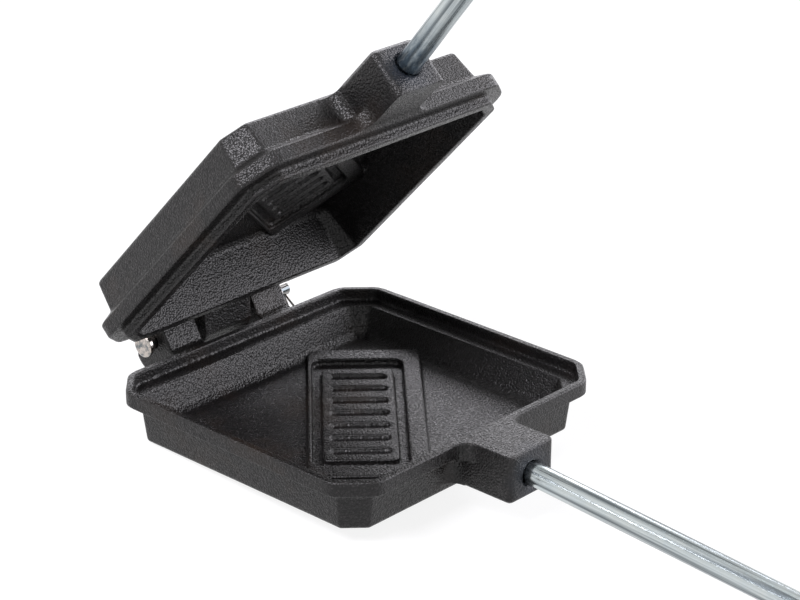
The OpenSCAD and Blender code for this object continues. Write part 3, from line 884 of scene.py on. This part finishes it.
def floor_material():
    material = bpy.data.materials.new("Pale floor")
    material.use_nodes = True
    tree = material.node_tree
    tree.nodes.clear()
    far = distance_node(tree, add_node(tree, "ShaderNodeTexCoord").outputs["Object"], MIDDLE)
    glow = remap(tree, far, GLOW_NEAR, GLOW_FAR, FLOOR_GLOW, 1.0)
    paper = add_node(tree, "ShaderNodeBsdfDiffuse", {"Color": grey(FLOOR_PAPER)})
    shade = add_node(tree, "ShaderNodeBsdfDiffuse", {"Color": grey(FLOOR_LIT)})
    bright = add_node(tree, "ShaderNodeEmission", {"Color": WHITE, "Strength": glow})
    lit = add_node(tree, "ShaderNodeAddShader", {0: shade.outputs[0], 1: bright.outputs[0]})
    mixed = add_node(tree, "ShaderNodeMixShader", {
        0: seen_directly(tree), 1: paper.outputs[0], 2: lit.outputs[0]})
    add_node(tree, "ShaderNodeOutputMaterial", {"Surface": mixed.outputs[0]})
    return material


def pale_floor():
    mesh = bpy.data.meshes.new("floor")
    corners = [(FLOOR_REACH * x, FLOOR_REACH * y, -FLOOR_DROP) for x, y in ((-1, -1), (1, -1), (1, 1), (-1, 1))]
    mesh.from_pydata(corners, [], [(0, 1, 2, 3)])
    mesh.materials.append(floor_material())
    new_object("floor", mesh)


def studio_world(ambient):
    """White where it is seen, and a dim light from all round otherwise."""
    world = bpy.data.worlds.new("Studio")
    world.use_nodes = True
    tree = world.node_tree
    tree.nodes.clear()
    dim = add_node(tree, "ShaderNodeBackground", {"Color": WHITE, "Strength": ambient})
    white = add_node(tree, "ShaderNodeBackground", {"Color": WHITE, "Strength": 1.0})
    mixed = add_node(tree, "ShaderNodeMixShader", {
        0: seen_directly(tree), 1: dim.outputs[0], 2: white.outputs[0]})
    add_node(tree, "ShaderNodeOutputWorld", {"Surface": mixed.outputs[0]})
    return world


def photo_camera(stage):
    """The camera at the photograph's place, turn and lens."""
    data = bpy.data.cameras.new("Camera")
    data.sensor_width = 36
    data.lens = stage.camera_lens
    data.clip_start, data.clip_end = 0.01, 60
    camera = new_object("Camera", data)
    camera.location = stage.camera_place
    camera.rotation_euler = stage.camera_turn
    return camera


class PIE_IRON_OT_stage(bpy.types.Operator):
    """Make the pale floor, the studio lamps, the surroundings and the camera"""

    bl_idname = "pie_iron.stage"
    bl_label = "Stage"

    def execute(self, context):
        scene = context.scene
        stage = scene.pie_iron_stage
        pale_floor()
        for name, place, power in (*FILLS, ("Key", KEY_PLACE, stage.key), ("Line", LINE_PLACE, stage.line)):
            lamp(name, place, power * stage.light)
        scene.world = studio_world(stage.ambient)
        scene.camera = photo_camera(stage)
        scene.view_settings.view_transform = "Standard"
        return {"FINISHED"}


class PIE_IRON_PT_panel(bpy.types.Panel):
    """Settings and operators of the pie iron"""

    bl_idname = "PIE_IRON_PT_panel"
    bl_label = "Pie Iron"
    bl_space_type = "VIEW_3D"
    bl_region_type = "UI"
    bl_category = "Pie Iron"

    def draw(self, context):
        scene = context.scene
        for title, group in (("Looks", scene.pie_iron_look), ("Sizes", scene.pie_iron_sizes),
                             ("Stage", scene.pie_iron_stage)):
            box = self.layout.box()
            box.label(text=title)
            for key in group.__annotations__:
                box.prop(group, key)
        for maker in MAKERS:
            self.layout.operator(maker.bl_idname)


MAKERS = (PIE_IRON_OT_pans, PIE_IRON_OT_rods, PIE_IRON_OT_hinge, PIE_IRON_OT_grips, PIE_IRON_OT_stage)
CLASSES = (PieIronLook, PieIronSizes, PieIronStage, *MAKERS, PIE_IRON_PT_panel)


def register():
    for cls in CLASSES:
        bpy.utils.register_class(cls)
    bpy.types.Scene.pie_iron_look = bpy.props.PointerProperty(type=PieIronLook)
    bpy.types.Scene.pie_iron_sizes = bpy.props.PointerProperty(type=PieIronSizes)
    bpy.types.Scene.pie_iron_stage = bpy.props.PointerProperty(type=PieIronStage)


def unregister():
    del bpy.types.Scene.pie_iron_stage
    del bpy.types.Scene.pie_iron_sizes
    del bpy.types.Scene.pie_iron_look
    for cls in reversed(CLASSES):
        bpy.utils.unregister_class(cls)


def main():
    register()
    bpy.ops.pie_iron.pans()
    bpy.ops.pie_iron.rods()
    bpy.ops.pie_iron.hinge()
    bpy.ops.pie_iron.grips()
    bpy.ops.pie_iron.stage()


if __name__ == "__main__":
    main()
